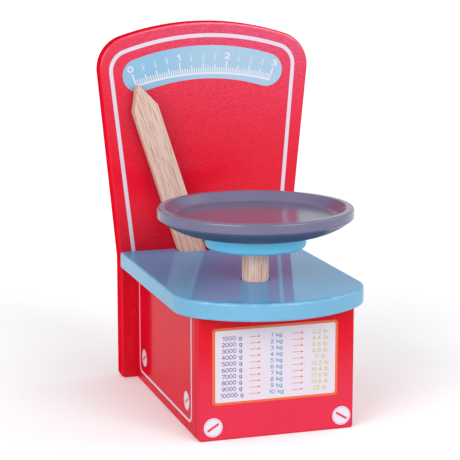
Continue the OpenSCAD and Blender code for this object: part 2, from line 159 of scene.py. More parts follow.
# Prints on the board, which sit a little askew
PRINT_LEAN = 1.0
PRINT_Z = 162 * MM
BORDER_IN = 10.5 * MM
BORDER_W = 3.4 * MM
DIAL_Z = 92.8 * MM
DIAL_OUT_R = 203.3 * MM
DIAL_IN_R = 174.1 * MM
DIAL_HALF = 18.06
SCALE_Z = 46.5 * MM
SCALE_R = 225 * MM
SCALE_HALF = 15.7
SCALE_W = 1.6 * MM
SCALE_STEPS = 36
UNITS = 3
DIVISIONS = 60
TICK_SHORT = 5.1 * MM
TICK_QUARTER = 7.6 * MM
TICK_HALF = 8.9 * MM
TICK_UNIT = 11.1 * MM
TICK_FINE_W = 0.95 * MM
TICK_W = 1.15 * MM
FIGURE_OUT = 15.5 * MM
FIGURE_H = 4.7 * MM
FIGURE_W = 1.15 * MM
FIGURE_WIDE = 1.7
SMALL_OUT = 14.4 * MM
SMALL_H = 2.5 * MM
SMALL_W = 0.58 * MM
SMALL_WIDE = 1.35
SMALL_RISE = 1.95 * MM
BAR_HALF = 1.0 * MM

# Prints on the box, the label and its frame as (left, right, bottom, top)
LABEL = (-51.7 * MM, 48.8 * MM, 31.1 * MM, 89.3 * MM)
LABEL_R = 1.6 * MM
LABEL_FRAME = (-54 * MM, 50.9 * MM, 29.1 * MM, 91.4 * MM)
LABEL_FRAME_R = 3 * MM
ROW_TOP_Z = 83 * MM
ROW_LOW_Z = 36.6 * MM
TEXT_H = 3 * MM
TEXT_W = 0.5 * MM
TEXT_WIDE = 1.45
MASS_X = -38 * MM
KILO_X = -1 * MM
POUND_X = 35.7 * MM
POUNDS = ("2.2", "4.4", "6.6", "8.8", "11", "13.2", "15.4", "17.6", "19.8", "22")
ARROW_XS = (-18.6 * MM, 17.35 * MM)
ARROW = [(u * MM, v * MM) for u, v in (
    (-4.8, -0.25), (2.4, -0.25), (2.4, -1), (4.6, 0), (2.4, 1), (2.4, 0.25), (-4.8, 0.25))]
FRONT_DISCS = ((-53.4 * MM, 11.25 * MM, 32), (54.75 * MM, 11.25 * MM, -32))
SIDE_DISCS = ((79.9 * MM, 24.6 * MM, 32), (-53.9 * MM, 24.4 * MM, 32))
DISC_R = 7.75 * MM
RING_R = 7 * MM
RING_W = 0.35 * MM
RING_STEP = 10
SLOT_L = 9.2 * MM
SLOT_W = 1.9 * MM
LINE_REAR_Y = 95 * MM
LINE_FRONT_Y = -67.8 * MM
LINE_LOW_Z = 9.8 * MM
LINE_TOP_Z = side_hi.z - 0.3 * MM
LINE_R = 7 * MM
LINE_W = 2.2 * MM

# Surroundings: a sun is (name, side from the front towards the right, height, level, width), and LIT is
# how brightly all of them light an upright face
FLOOR_HALF = 30
WHITE = (1.0,) * 4
ROOM = (0.95, 0.97, 1.0, 1.0)
ROOM_LEVEL = 0.6
SUNS = (("key", 25, 25, 1.55, 40), ("fill", -55, 22, 2.2, 45), ("side", 80, 28, 0.7, 50))
LIT = 1.5

# Camera at the photo's viewpoint: place, angle down, turn to the right, lens and sensor in millimetres
EYE = (-0.41108, -1.26155, 0.40740)
EYE_DOWN = 10.956
EYE_TURN = 17.584
EYE_LENS = 126.96
EYE_SENSOR = 36

# Noise of the looks: features a millimetre along X, Y and Z
CLOUDS = (0.018,) * 3
RUBBING = (0.09,) * 3
PEEL = (0.6, 0.6, 0.9)
BOARD_RIPPLE = (0.24, 0.5, 1.5)
PANEL_RIPPLE = (0.6, 0.6, 0.12)
SHELF_RIPPLE = (0.05, 0.5, 0.5)
COLLAR_RIPPLE = (0.06, 0.06, 0.7)
PAN_RIPPLE = (0.09, 0.09, 0.8)
LABEL_RIPPLE = (0.3,) * 3
INK_CLOUDS = (0.05,) * 3
INK_GRAIN = (1.8,) * 3
WOOD_BANDS = (0.15, 0.15, 0.007)
WOOD_STREAKS = (0.55, 0.55, 0.025)
WOOD_FIBRES = (1.6, 1.6, 0.05)
WOOD_DASHES = (1.1, 1.1, 0.06)
STEEL_BRUSHING = (6.0, 6.0, 0.8)
STEEL_PATCHES = (0.4,) * 3
FLOOR_CLOUDS = (0.01,) * 3

# Dust specks as (spacing, size, share of the spots), and the spacing of the growth lines, in millimetres
DUST = (14.0, 0.28, 0.16)
GROWTH = 2.3


def arc(centre, r, a0, a1, step=5.0):
    """Points of an arc from angle a0 to a1, in degrees."""
    n = max(2, ceil(abs(a1 - a0) / step))
    turns = (radians(a0 + (a1 - a0) * i / n) for i in range(n + 1))
    return [(centre[0] + r * cos(t), centre[1] + r * sin(t)) for t in turns]


def turned(u, v, a, centre):
    """A point, measured from the centre, turned anticlockwise about it by a degrees."""
    c, s = cos(radians(a)), sin(radians(a))
    return centre[0] + u * c - v * s, centre[1] + u * s + v * c


def mirrored(points):
    """The same points on the other side of the middle, in the opposite order."""
    return [(-u, v) for u, v in reversed(points)]


def inset(points, d):
    """A closed outline moved inwards by d, each edge parallel to itself."""
    moved = []
    for i, b in enumerate(points):
        a, c = points[i - 1], points[(i + 1) % len(points)]
        u = Vector((b[0] - a[0], b[1] - a[1])).normalized()
        v = Vector((c[0] - b[0], c[1] - b[1])).normalized()
        k = d / (1 + u.dot(v))
        moved.append((b[0] - (u.y + v.y) * k, b[1] + (u.x + v.x) * k))
    return moved


def board_outline():
    """Back board seen from the front: feet, flared sides, upper corners and crown."""
    crown = (0, board_hi.z - CROWN_R)
    corner_x = board_hi.x - CORNER_R
    corner = (corner_x, crown[1] + sqrt((CROWN_R - CORNER_R) ** 2 - corner_x ** 2))
    kink = (shelf_hi.x, FLARE_Z)
    away = Vector((corner[0] - kink[0], corner[1] - kink[1]))
    lean = degrees(atan2(away.y, away.x) - asin(CORNER_R / away.length))
    join = degrees(atan2(corner[1] - crown[1], corner[0]))
    right = arc((shelf_hi.x - FOOT_R, FOOT_R), FOOT_R, -90, 0, 10) + [kink]
    right += arc(corner, CORNER_R, lean - 90, join, 4)
    top = arc(crown, CROWN_R, join, 180 - join, 2)
    return right + top[1:-1] + mirrored(right)


def shelf_outline():
    """Shelf seen from above: bowed front, rounded corners and the pointer's notch."""
    corner = (shelf_hi.x - SHELF_CORNER_R, shelf_lo.y + SHOULDER_D)
    bow_r = (corner[0] ** 2 + SHOULDER_D ** 2 - SHELF_CORNER_R ** 2) / 2 / (SHOULDER_D - SHELF_CORNER_R)
    bow = (0, shelf_lo.y + bow_r)
    join = degrees(atan2(corner[1] - bow[1], corner[0]))
    right = arc(corner, SHELF_CORNER_R, join, 0, 4)
    right += arc((shelf_hi.x - SHELF_REAR_R, shelf_hi.y - SHELF_REAR_R), SHELF_REAR_R, 0, 90, 10)
    right += [(NOTCH_HALF_W, shelf_hi.y), (NOTCH_HALF_W, shelf_hi.y - NOTCH_D)]
    return arc(bow, bow_r, -180 - join, join, 2)[1:-1] + right + mirrored(right)


def plate_outline(u0, u1, v0, v1, r):
    """Rectangle with rounded corners."""
    corners = ((u1 - r, v0 + r), (u1 - r, v1 - r), (u0 + r, v1 - r), (u0 + r, v0 + r))
    return [spot for i, corner in enumerate(corners) for spot in arc(corner, r, 90 * i - 90, 90 * i, 10)]


def pointer_outline():
    """Pointer upright, measured from its pivot."""
    half = POINTER_W / 2
    return (arc((0, half - POINTER_FOOT_H), half, -180, 0, 8)
            + [(half, REACH - POINT_H), (TIP_W / 2, REACH), (-TIP_W / 2, REACH), (-half, REACH - POINT_H)])


def in_scene(name, data):
    """An object at the origin for a mesh, a lamp or the camera."""
    made = bpy.data.objects.new(name, data)
    scene.collection.objects.link(made)
    return made


def piece(name, shape, material, body, slot, *replaced):
    """A closed mesh in its place, shaded smooth except over sharp corners, that rides on a body.

    shape is vertices, faces and, for some, one arris value a vertex. It hides the nodes it replaces.
    """
    verts, faces, *arris = shape
    mesh = bpy.data.meshes.new(name)
    mesh.from_pydata([tuple(v) for v in verts], [], faces)
    work = bmesh.new()
    work.from_mesh(mesh)
    bmesh.ops.recalc_face_normals(work, faces=work.faces)
    work.to_mesh(mesh)
    work.free()
    mesh.shade_smooth()
    mesh.set_sharp_from_angle(angle=radians(SHARP))
    if arris:
        mesh.attributes.new("arris", "FLOAT", "POINT").data.foreach_set("value", arris[0])
    mesh.materials.append(material)
    made = in_scene(name, mesh)
    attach(made, body)
    if replaced:
        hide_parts(*replaced)


def slab(outline, t, r, place, low_holes=(), through=(), top_r=None):
    """Vertices, faces and arris values of a board with rounded arrises.

    The outline runs anticlockwise. place turns (along, up, depth) into the row frame. low_holes are
    countersinks in the face at depth 0: (centre, head radius, shank radius, depth). through are
    round holes: (centre, radius). top_r is the radius of the other arris where it differs.
    """
    turns = [pi / 2 * i / ARRIS_STEPS for i in range(ARRIS_STEPS + 1)]

    def bend(r):
        return [(r + HOLD, 0)] + [(r - r * sin(a), r - r * cos(a)) for a in turns] + [(0, r + HOLD)]

    rings = bend(r) + [(d, t - w) for d, w in reversed(bend(top_r or r))]
    flat_rings = (0, ARRIS_STEPS + 2, ARRIS_STEPS + 3, len(rings) - 1)
    verts, faces, arris, n = [], [], [], len(outline)
    for k, (d, w) in enumerate(rings):
        verts += [place(u, v, w) for u, v in inset(outline, d)]
        arris += [0.0 if k in flat_rings else 1.0] * n
    for k in range(len(rings) - 1):
        for i in range(n):
            j = (i + 1) % n
            faces.append((k * n + i, k * n + j, (k + 1) * n + j, (k + 1) * n + i))

    def ring(centre, radius, w, value):
        start = len(verts)
        verts.extend(place(u, v, w) for u, v in arc(centre, radius, 0, 360, HOLE_STEP)[:-1])
        arris.extend([value] * (len(verts) - start))
        return list(range(start, len(verts)))

    def band(a, b):
        for i in range(len(a)):
            j = (i + 1) % len(a)
            faces.append((a[i], a[j], b[j], b[i]))

    caps = [[list(range(n))], [list(range((len(rings) - 1) * n, len(rings) * n))]]
    for centre, head_r, shank_r, depth in low_holes:
        rim, foot = ring(centre, head_r, 0, 0.0), ring(centre, shank_r, depth, 0.0)
        band(rim, foot)
        faces.append(tuple(foot))
        caps[0].append(rim)
    for centre, radius in through:
        e = min(HOLE_EDGE_R, t / 4)
        entry = [(radius + e + HOLD, 0, 0.0), (radius + e, 0, 1.0), (radius + 0.3 * e, 0.3 * e, 1.0),
                 (radius, e, 1.0)]
        loops = [ring(centre, rr, w, value) for rr, w, value in entry]
        loops += [ring(centre, rr, t - w, value) for rr, w, value in reversed(entry)]
        for a, b in zip(loops, loops[1:]):
            band(a, b)
        caps[0].append(loops[0])
        caps[1].append(loops[-1])
    for loops in caps:
        if len(loops) == 1:
            faces.append(tuple(loops[0]))
            continue
        flat = [i for loop in loops for i in loop]
        for tri in tessellate_polygon([[Vector(verts[i]) for i in loop] for loop in loops]):
            faces.append(tuple(flat[i] for i in tri))
    return verts, faces, arris


def lathe(profile, centre):
    """A turned solid: profile points (radius, height) from the axis back to the axis."""
    verts, faces, rows = [], [], []
    for radius, z in profile:
        if radius < ON_AXIS:
            verts.append((centre[0], centre[1], z))
            rows.append([len(verts) - 1])
            continue
        start = len(verts)
        for i in range(TURN_STEPS):
            a = 2 * pi * i / TURN_STEPS
            verts.append((centre[0] + radius * cos(a), centre[1] + radius * sin(a), z))
        rows.append(list(range(start, start + TURN_STEPS)))
    for a, b in zip(rows, rows[1:]):
        for i in range(TURN_STEPS):
            j = (i + 1) % TURN_STEPS
            loop = [a[i % len(a)], a[j % len(a)], b[j % len(b)], b[i % len(b)]]
            faces.append(tuple(dict.fromkeys(loop)))
    return verts, faces


def operator(operation):
    """The method of a Value that adds a Math node."""
    return lambda self, other: self.graph.maths(operation, self, other)


class Value:
    """A socket of a node tree. Sums, products and comparisons of values add Math nodes."""

    def __init__(self, graph, socket):
        self.graph, self.socket = graph, socket

    def __rsub__(self, other):
        return self.graph.maths("SUBTRACT", other, self)

    __add__ = __radd__ = operator("ADD")
    __sub__ = operator("SUBTRACT")
    __mul__ = __rmul__ = operator("MULTIPLY")
    __truediv__ = operator("DIVIDE")
    __mod__ = operator("FLOORED_MODULO")
    __lt__ = operator("LESS_THAN")


class Graph:
    """Builds a shader tree or a geometry tree."""

    def __init__(self, tree):
        self.tree = tree

    def node(self, kind, settings, sockets, out=0):
        """Adds a node with its settings, and links or sets its sockets. Gives the output out."""
        made = self.tree.nodes.new(kind)
        for key, value in settings.items():
            setattr(made, key, value)
        for key, value in sockets.items():
            if isinstance(value, Value):
                self.tree.links.new(value.socket, made.inputs[key])
            else:
                made.inputs[key].default_value = value
        return Value(self, made.outputs[out]) if len(made.outputs) else made

    def maths(self, operation, *terms):
        return self.node("ShaderNodeMath", {"operation": operation}, dict(enumerate(terms)))

    def vector(self, operation, *terms):
        return self.node("ShaderNodeVectorMath", {"operation": operation}, dict(enumerate(terms)))

    def step(self, value, low, high):
        """0 below low, 1 above high and smooth between."""
        return self.node("ShaderNodeMapRange", {"interpolation_type": "SMOOTHSTEP"},
                         {"Value": value, "From Min": low, "From Max": high})

    def mix(self, factor, a, b):
        """Colour a where the factor is 0 and b where it is 1."""
        return self.node("ShaderNodeMix", {"data_type": "RGBA"}, {0: factor, 6: a, 7: b}, 2)

    def part(self, vector, axis):
        return self.node("ShaderNodeSeparateXYZ", {}, {0: vector}, axis)

    def place(self, turn=(0, 0, 0), shift=(0, 0, 0)):
        """The piece's own coordinates in millimetres, turned and shifted."""
        own = self.node("ShaderNodeTexCoord", {}, {}, "Object")
        return self.node("ShaderNodeMapping", {}, {
            "Vector": own, "Scale": (1 / MM,) * 3, "Rotation": turn, "Location": shift})

    def noise(self, where, scale, detail=2.0, rough=0.5, warp=0.0):
        """Noise with scale features a millimetre along X, Y and Z."""
        scaled = self.node("ShaderNodeMapping", {}, {"Vector": where, "Scale": scale})
        return self.node("ShaderNodeTexNoise", {}, {
            "Vector": scaled, "Scale": 1.0, "Detail": detail, "Roughness": rough, "Distortion": warp})

    def specks(self, where, spacing, size, share):
        """1 in a few small dots, 0 between: one cell in every spacing, a share of them filled."""
        scaled = self.node("ShaderNodeMapping", {}, {"Vector": where, "Scale": (1 / spacing,) * 3})
        near = self.node("ShaderNodeTexVoronoi", {}, {"Vector": scaled, "Scale": 1.0}, "Distance")
        cell = self.node("ShaderNodeTexVoronoi", {}, {"Vector": scaled, "Scale": 1.0}, "Color")
        pick = self.node("ShaderNodeSeparateColor", {}, {0: cell})
        return (near < size / spacing) * (pick < share)

    def bump(self, height, depth):
        return self.node("ShaderNodeBump", {}, {"Height": height, "Distance": depth, "Strength": 1.0})


def paint(r, g, b):
    """A colour given as it shows under the lamps, 0 to 255, in the values that the shaders use."""
    line = [c / 255 / 12.92 if c < 10.4 else ((c / 255 + 0.055) / 1.055) ** 2.4 for c in (r, g, b)]
    return (*(c / LIT for c in line), 1.0)


def principled(name, build):
    """A material whose graph build fills in: it returns the Principled shader's sockets."""
    made = bpy.data.materials.new(name)
    made.use_nodes = True
    made.node_tree.nodes.clear()
    graph = Graph(made.node_tree)
    shader = graph.node("ShaderNodeBsdfPrincipled", {}, build(graph))
    graph.node("ShaderNodeOutputMaterial", {}, {"Surface": shader})
    return made


def lacquer(name, tones, ripple, depth, rough=0.4, coat=0.42, coat_rough=0.1, painted_sheen=None, breakup=1.0,
            shade=None):
    """Sprayed lacquer on wood: faint clouds, a fine ripple, dust specks and thinner paint on the arrises.

    tones are the paint, its deeper clouds and its worn tint, and depth is the ripple's. The painted
    reflection is (colour, share) of a pale tone, which the ripple breaks up, and shade (colour, share) of
    painted shade. A share is a function of the graph and the place, and coat may be one of the graph, the
    place and the arris.
    """
    colour, deep, worn = (paint(*tone) for tone in tones)

    def build(g):
        at = g.place()
        cloud = g.noise(at, CLOUDS, 3.0, 0.55)
        fine = g.noise(at, ripple, 3.0, 0.6, 0.4)
        peel = g.noise(at, PEEL, 2.0, 0.5)
        arris = g.node("ShaderNodeAttribute", {"attribute_name": "arris"}, {}, "Fac")
        rub = arris * g.step(g.noise(at, RUBBING, 4.0, 0.65), 0.42, 0.7)
        dust = g.specks(at, *DUST)
        body = g.mix(g.step(cloud, 0.3, 0.7), colour, deep)
        # Painted shade
        if shade:
            body = g.mix(shade[1](g, at), body, paint(*shade[0]))
        # Painted reflection, broken up by the ripple
        if painted_sheen:
            broken = g.step(fine * 0.5 + peel * 0.5, 0.34, 0.66) * 2.0 - 1.0
            body = g.mix(painted_sheen[1](g, at) * (broken * breakup + 1.0), body, paint(*painted_sheen[0]))
        body = g.mix(rub * 0.45 + g.step(fine, 0.35, 0.75) * 0.12 + dust * 0.5, body, worn)
        sheen = rough + (cloud - 0.5) * 0.12 + (fine - 0.5) * 0.1 + rub * 0.08
        gloss = coat(g, at, arris) if callable(coat) else coat
        return {"Base Color": body, "Roughness": sheen, "Specular IOR Level": 0.0,
                "Normal": g.bump(fine + peel * 0.5 + dust * 1.6, depth),
                "Coat Weight": gloss - rub * 0.15, "Coat Roughness": coat_rough}
    return principled(name, build)


def wood(name, tones, turn=(0, 0, 0), shift=(0, 0, 0), painted_light=None):
    """Straight-grained hardwood with its grain along Z: growth lines, streaks, fibres and open pores.

    tones are the pale and the warm wood, its brown lines and its pores. The painted light is (colour,
    share) of a paler stretch that stands in for light, the share a function of the graph and the place.
    """
    pale, warm, brown, pore = (paint(*tone) for tone in tones)

    def build(g):
        at = g.place(turn, shift)
        bands = g.noise(at, WOOD_BANDS, 2.0, 0.5, 0.5)
        streak = g.noise(at, WOOD_STREAKS, 3.0, 0.55, 0.3)
        fibre = g.noise(at, WOOD_FIBRES, 3.0, 0.6, 0.2)
        dash = g.noise(at, WOOD_DASHES, 2.0, 0.5, 0.2)
        ring = (g.part(at, "X") + g.part(at, "Y") * 0.4) / GROWTH + bands * 6.0 + streak * 0.7
        line = g.step(ring % 1.0, 0.45, 0.92) * (1.0 - g.step(ring % 1.0, 0.93, 1.0))
        body = g.mix(g.step(bands * 0.5 + streak * 0.5, 0.38, 0.62), pale, warm)
        # Painted light
        if painted_light:
            body = g.mix(painted_light[1](g, g.place()), body, paint(*painted_light[0]))
        body = g.mix(line * g.step(dash, 0.36, 0.58) * 0.8, body, brown)
        body = g.mix(g.step(fibre, 0.45, 0.72) * 0.35, body, brown)
        pores = line * g.step(dash, 0.47, 0.58)
        body = g.mix(pores * 0.8, body, pore)
        return {"Base Color": body, "Roughness": (fibre - 0.5) * 0.25 + pores * 0.15 + 0.5,
                "Normal": g.bump(fibre * 0.6 + streak * 0.4 - pores * 1.2, 0.06 * MM)}
    return principled(name, build)


def steel(g):
    """Zinc-plated screws: faint brushing and dull patches."""
    at = g.place()
    brush = g.noise(at, STEEL_BRUSHING, 3.0, 0.6)
    patch = g.noise(at, STEEL_PATCHES, 2.0)
    body = g.mix(patch, paint(205, 206, 210), paint(172, 173, 178))
    return {"Base Color": body, "Metallic": 1.0, "Roughness": 0.24 + brush * 0.16 + patch * 0.1,
            "Normal": g.bump(brush, 0.01 * MM)}


def ink(name, tones, ripple, cover=0.22, painted_sheen=None):
    """Screen-printed ink: it follows the paint's ripple and lies a little thinner in places.

    tones are the ink and its thin places, cover is how much these show, and the painted reflection is as
    for lacquer.
    """
    colour, thin = (paint(*tone) for tone in tones)

    def build(g):
        at = g.place()
        fine = g.noise(at, ripple, 3.0, 0.6, 0.4)
        grain = g.noise(at, INK_GRAIN, 3.0, 0.6)
        cloud = g.noise(at, INK_CLOUDS, 2.0)
        lean = g.step(grain * 0.6 + fine * 0.4, 0.42, 0.72) * cover
        # Painted reflection
        body = g.mix(painted_sheen[1](g, at), colour, paint(*painted_sheen[0])) if painted_sheen else colour
        return {"Base Color": g.mix(lean, body, thin),
                "Roughness": (cloud - 0.5) * 0.12 + (grain - 0.5) * 0.12 + 0.34,
                "Coat Weight": 0.35 - lean * 0.3, "Coat Roughness": 0.18,
                "Normal": g.bump(fine + grain * 0.3, 0.03 * MM)}
    return principled(name, build)


def fade(axis, low, high, before, after):
    """A share that goes from before to after between two places along an axis, in millimetres."""
    def share(g, at):
        return g.step(g.part(at, axis), low, high) * (after - before) + before
    return share


board_face = fade("Y", board_lo.y / MM + 0.2, board_lo.y / MM + 1.0, 1.0, 0.0)
on_the_crown = fade("Z", 270.0, 290.0, 0.0, 1.0)
# Painted reflection on the dial, paler towards the right
along_the_dial = fade("X", -50.0, 10.0, 0.0, 1.0)
# Painted light on the pointer's foot, for the light that reaches it under the pan
low_on_the_pointer = fade("Z", 132.0, 165.0, 0.45, 0.0)
# Painted reflection on the front panel, strongest low down
down_the_front = fade("Z", 30.0, 90.0, 0.18, 0.02)
# Painted shade on the dish's belly below the band; the coat is duller there too
under_the_pan = fade("Z", BAND_Z / MM - 4.0, BAND_Z / MM + 1.0, 0.75, 0.0)
# Painted shade on the shelf's top: a bluer tone than its edges, for the pan's shadow and how light falls
over_the_shelf = fade("Z", shelf_hi.z / MM - 1.5, shelf_hi.z / MM - 0.1, 0.0, 1.0)
# The next two shares feed the painted reflection of the red board on the shelf's top
back_on_the_shelf = fade("Y", -60.0, 70.0, 0.0, 1.0)
off_the_middle = fade("X", 30.0, 90.0, 0.45, 0.0)


def up_the_board(g, at):
    """Painted reflection on the board's face, growing from the shelf to the crown and from left to right."""
    rise = g.maths("MAXIMUM", g.part(at, "Z") / 150.0 - 1.1, 0.0)
    return (rise * rise * 0.42 + 0.03) * (g.part(at, "X") / 300.0 + 0.95) * board_face(g, at)


def by_the_board(g, at):
    """Painted reflection of the red board on the shelf's top, growing towards the middle of the board."""
    return back_on_the_shelf(g, at) * off_the_middle(g, g.vector("ABSOLUTE", at)) * over_the_shelf(g, at)


def board_gloss(g, at, arris):
    """Glossy on the face and most of all where the lacquer gathers along the crown."""
    return board_face(g, at) * (arris * on_the_crown(g, at) * 0.6 + 0.36) + 0.01


def pan_gloss(g, at, arris):
    """Duller under the dish than on it."""
    return 0.95 - under_the_pan(g, at) * 0.75


# Pink of the painted reflection on the board's face and low on the front panel
REFLECTION_PINK = (222, 118, 164)
red_board = lacquer("red_board", ((240, 7, 38), (235, 4, 33), (240, 44, 72)), BOARD_RIPPLE, 0.32 * MM,
                    coat=board_gloss, coat_rough=0.2, painted_sheen=(REFLECTION_PINK, up_the_board), breakup=0.6)
red_front = lacquer("red_front", ((229, 7, 32), (224, 4, 27), (234, 44, 68)), PANEL_RIPPLE, 0.07 * MM,
                    coat=0.18, painted_sheen=(REFLECTION_PINK, down_the_front), breakup=0.12)
red_side = lacquer("red_side", ((230, 7, 42), (225, 4, 36), (234, 44, 72)), PANEL_RIPPLE, 0.06 * MM,
                   coat=0.32)
# The shelf: painted reflection of the red board and painted shade on its top
sky_shelf = lacquer("sky_shelf", ((116, 180, 214), (112, 176, 212), (154, 202, 226)), SHELF_RIPPLE,
                    0.02 * MM, rough=0.35, coat=0.64, coat_rough=0.07,
                    painted_sheen=((134, 184, 258), by_the_board), breakup=0.1,
                    shade=((86, 176, 228), over_the_shelf))
# The collar's light blue, brighter and bluer than the shelf's: partly its own paint, partly painted light for
# the light and blue bounce under the pan
sky_collar = lacquer("sky_collar", ((112, 213, 255), (106, 207, 251), (146, 222, 255)), COLLAR_RIPPLE,
                     0.03 * MM)
# The dish, with painted shade on its belly
slate_pan = lacquer("slate_pan", ((112, 108, 140), (106, 103, 136), (140, 136, 160)), PAN_RIPPLE,
                    0.03 * MM, coat=pan_gloss, coat_rough=0.2, shade=((52, 80, 111), under_the_pan))
# The pointer, with painted light on its foot
pointer_wood = wood("pointer_wood", ((224, 195, 184), (223, 189, 175), (206, 152, 122), (176, 104, 64)),
                    (0, radians(HALF_SWING), 0), (0, 0, 40),
                    painted_light=((300, 224, 192), low_on_the_pointer))
# The post's wood, paler than the pointer's and past what wood can be: partly its own paler tone, partly
# painted light for the light it gets under the pan
post_wood = wood("post_wood", ((260, 228, 212), (252, 210, 192), (236, 174, 146), (212, 136, 104)))
inner_wood = wood("inner_wood", ((226, 204, 176), (210, 182, 150), (188, 154, 120), (156, 118, 88)),
                  (pi / 2, 0, 0))
plated_steel = principled("plated_steel", steel)
white_ink = ink("white_ink", ((226, 214, 230), (228, 190, 206)), BOARD_RIPPLE)
dial_ink = ink("dial_ink", ((134, 186, 220), (150, 190, 218)), BOARD_RIPPLE, 0.5,
               painted_sheen=((164, 198, 222), along_the_dial))
mark_ink = ink("mark_ink", ((230, 228, 238), (190, 208, 226)), BOARD_RIPPLE)
faint_ink = ink("faint_ink", ((212, 216, 230), (176, 200, 222)), BOARD_RIPPLE)
label_ink = ink("label_ink", ((224, 214, 226), (214, 202, 218)), LABEL_RIPPLE, 0.3)
orange_ink = ink("orange_ink", ((230, 98, 12), (226, 78, 20)), LABEL_RIPPLE)
disc_ink = ink("disc_ink", ((232, 224, 238), (222, 206, 224)), LABEL_RIPPLE)
ring_ink = ink("ring_ink", ((178, 168, 190), (206, 198, 214)), LABEL_RIPPLE)
slot_ink = ink("slot_ink", ((224, 34, 54), (232, 80, 96)), LABEL_RIPPLE)
navy_ink = ink("navy_ink", ((70, 66, 142), (120, 116, 178)), LABEL_RIPPLE, 0.5)
teal_ink = ink("teal_ink", ((32, 132, 178), (96, 166, 200)), LABEL_RIPPLE, 0.5)
olive_ink = ink("olive_ink", ((200, 186, 62), (214, 202, 116)), LABEL_RIPPLE, 0.5)
arrow_ink = ink("arrow_ink", ((240, 104, 74), (240, 150, 130)), LABEL_RIPPLE, 0.4)


def held(profile):
    """Profile points with one more near both ends of each long straight, so that shading stays flat there."""
    kept = [profile[0]]
    for a, b in zip(profile, profile[1:]):
        run = Vector((b[0] - a[0], b[1] - a[1]))
        if run.length > 5 * HOLD:
            step = run.normalized() * HOLD
            kept += [(a[0] + step.x, a[1] + step.y), (b[0] - step.x, b[1] - step.y)]
        kept.append(b)
    return kept


def against(y):
    """Places (along, up, out) on an upright plane that faces the front."""
    return lambda u, v, w: (u, y - w, v)


def beside(x):
    """Places (along, up, out) on an upright plane that faces away from the middle."""
    return lambda u, v, w: (x + w if x > 0 else x - w, u, v)


def along_shelf(u, v, w):
    return (u, v, shelf_lo.z + w)


def along_collar(u, v, w):
    return (u, POST_Y + v, collar_lo.z + w)


def along_pointer(u, v, w):
    """From the upright pointer, seen from the front, to where it rests."""
    x, z = turned(u, v, HALF_SWING, (0, PIVOT_Z))
    return (x, pointer_hi.y - w, z)


# Wooden pieces rebuilt with round arrises
screw_spots = [(side * PANEL_MID_X, side_hi.z * share) for share in SCREW_SHARES for side in (-1, 1)]
screw_spots += [(side * SHELF_SCREW_X, (shelf_lo.z + shelf_hi.z) / 2) for side in (-1, 1)]
board_holes = [(spot, *BACK_SCREW) for spot in screw_spots]
piece("board", slab(board_outline(), board_hi.y - board_lo.y, BOARD_EDGE_R, against(board_hi.y), board_holes),
      red_board, "housing", "red_lacquer", "back_board")

front_rim = plate_outline(front_lo.x, front_hi.x, 0, front_hi.z, PANEL_CORNER_R)
piece("front", slab(front_rim, front_hi.y - front_lo.y, PANEL_EDGE_R, against(front_hi.y)),
      red_front, "housing", "red_lacquer", "front_panel")

side_rim = plate_outline(side_lo.y, side_hi.y, 0, side_hi.z, PANEL_CORNER_R)
for side, x in (("right_side", side_lo.x), ("left_side", -side_lo.x)):
    piece(side, slab(side_rim, side_hi.x - side_lo.x, PANEL_EDGE_R, beside(x)),
          red_side, "housing", "red_lacquer", side + "_panel")

piece("shelf", slab(shelf_outline(), shelf_hi.z - shelf_lo.z, SHELF_EDGE_R, along_shelf,
                    through=[((0, POST_Y), POST_HOLE_R)]),
      sky_shelf, "housing", "sky_lacquer", "top_shelf")

piece("pointer", slab(pointer_outline(), pointer_hi.y - pointer_lo.y, POINTER_EDGE_R, along_pointer,
                      through=[((0, 0), PIVOT_HOLE_R)]),
      pointer_wood, "pointer_arm", "bare_wood", "pointer")

collar_holes = [(spot, *COLLAR_SCREW) for spot in arc((0, 0), COLLAR_SCREW_RING, 90, 450, 120)[:-1]]
piece("collar", slab(arc((0, 0), collar_hi.x, 0, 360, ROUND_STEP)[:-1], collar_hi.z - collar_lo.z,
                     COLLAR_EDGE_R, along_collar, collar_holes, top_r=COLLAR_TOP_R),
      sky_collar, "pan_carriage", "sky_lacquer", "pan_collar")

# Dish: seat, belly, soft crease, band, round rim, sloping wall, fillet and floor
reach = PAN_R - SEAT_R
belly_r = (reach ** 2 + (BAND_Z - pan_lo.z) ** 2) / 2 / (BAND_Z - pan_lo.z)
belly_end = -90 + degrees(asin(reach / belly_r))
belly = arc((SEAT_R, pan_lo.z + belly_r), belly_r, -90, belly_end, 4)
crease = arc((PAN_R - CREASE_R, BAND_Z + CREASE_R * tan(radians((90 + belly_end) / 2))),
             CREASE_R, belly_end, 0, 10)
dish = [(0, pan_lo.z)] + belly[:-1] + crease
dish += arc((PAN_R - RIM_R, pan_hi.z - RIM_R), RIM_R, 0, 90, 10)
hollow = (PAN_R - RIM_W - WALL_W, PAN_FLOOR_Z + DISH_FILLET_R)
away = Vector((WALL_W, pan_hi.z - hollow[1]))
wall_end = degrees(atan2(away.y, away.x) - acos(DISH_FILLET_R / away.length))
steep = 90 + wall_end
lip_x = PAN_R - RIM_W + LIP_R * tan(radians(steep / 2))
dish += arc((lip_x, pan_hi.z - LIP_R), LIP_R, 90, 90 + steep, 10)
dish += arc(hollow, DISH_FILLET_R, wall_end, -90, 5)
dish += [(0, PAN_FLOOR_Z)]
piece("dish", lathe(held(dish), (0, POST_Y)), slate_pan, "pan_carriage", "slate_lacquer", "weighing_pan")

bore_z = post_lo.z + BORE_H
stem = [(0, bore_z), (BORE_R, bore_z), (BORE_R, post_lo.z), (POST_R - POST_CHAMFER, post_lo.z),
        (POST_R, post_lo.z + POST_CHAMFER), (POST_R, post_hi.z), (0, post_hi.z)]
piece("post_stem", lathe(held(stem), (0, POST_Y)), post_wood, "pan_carriage", "bare_wood", "post")


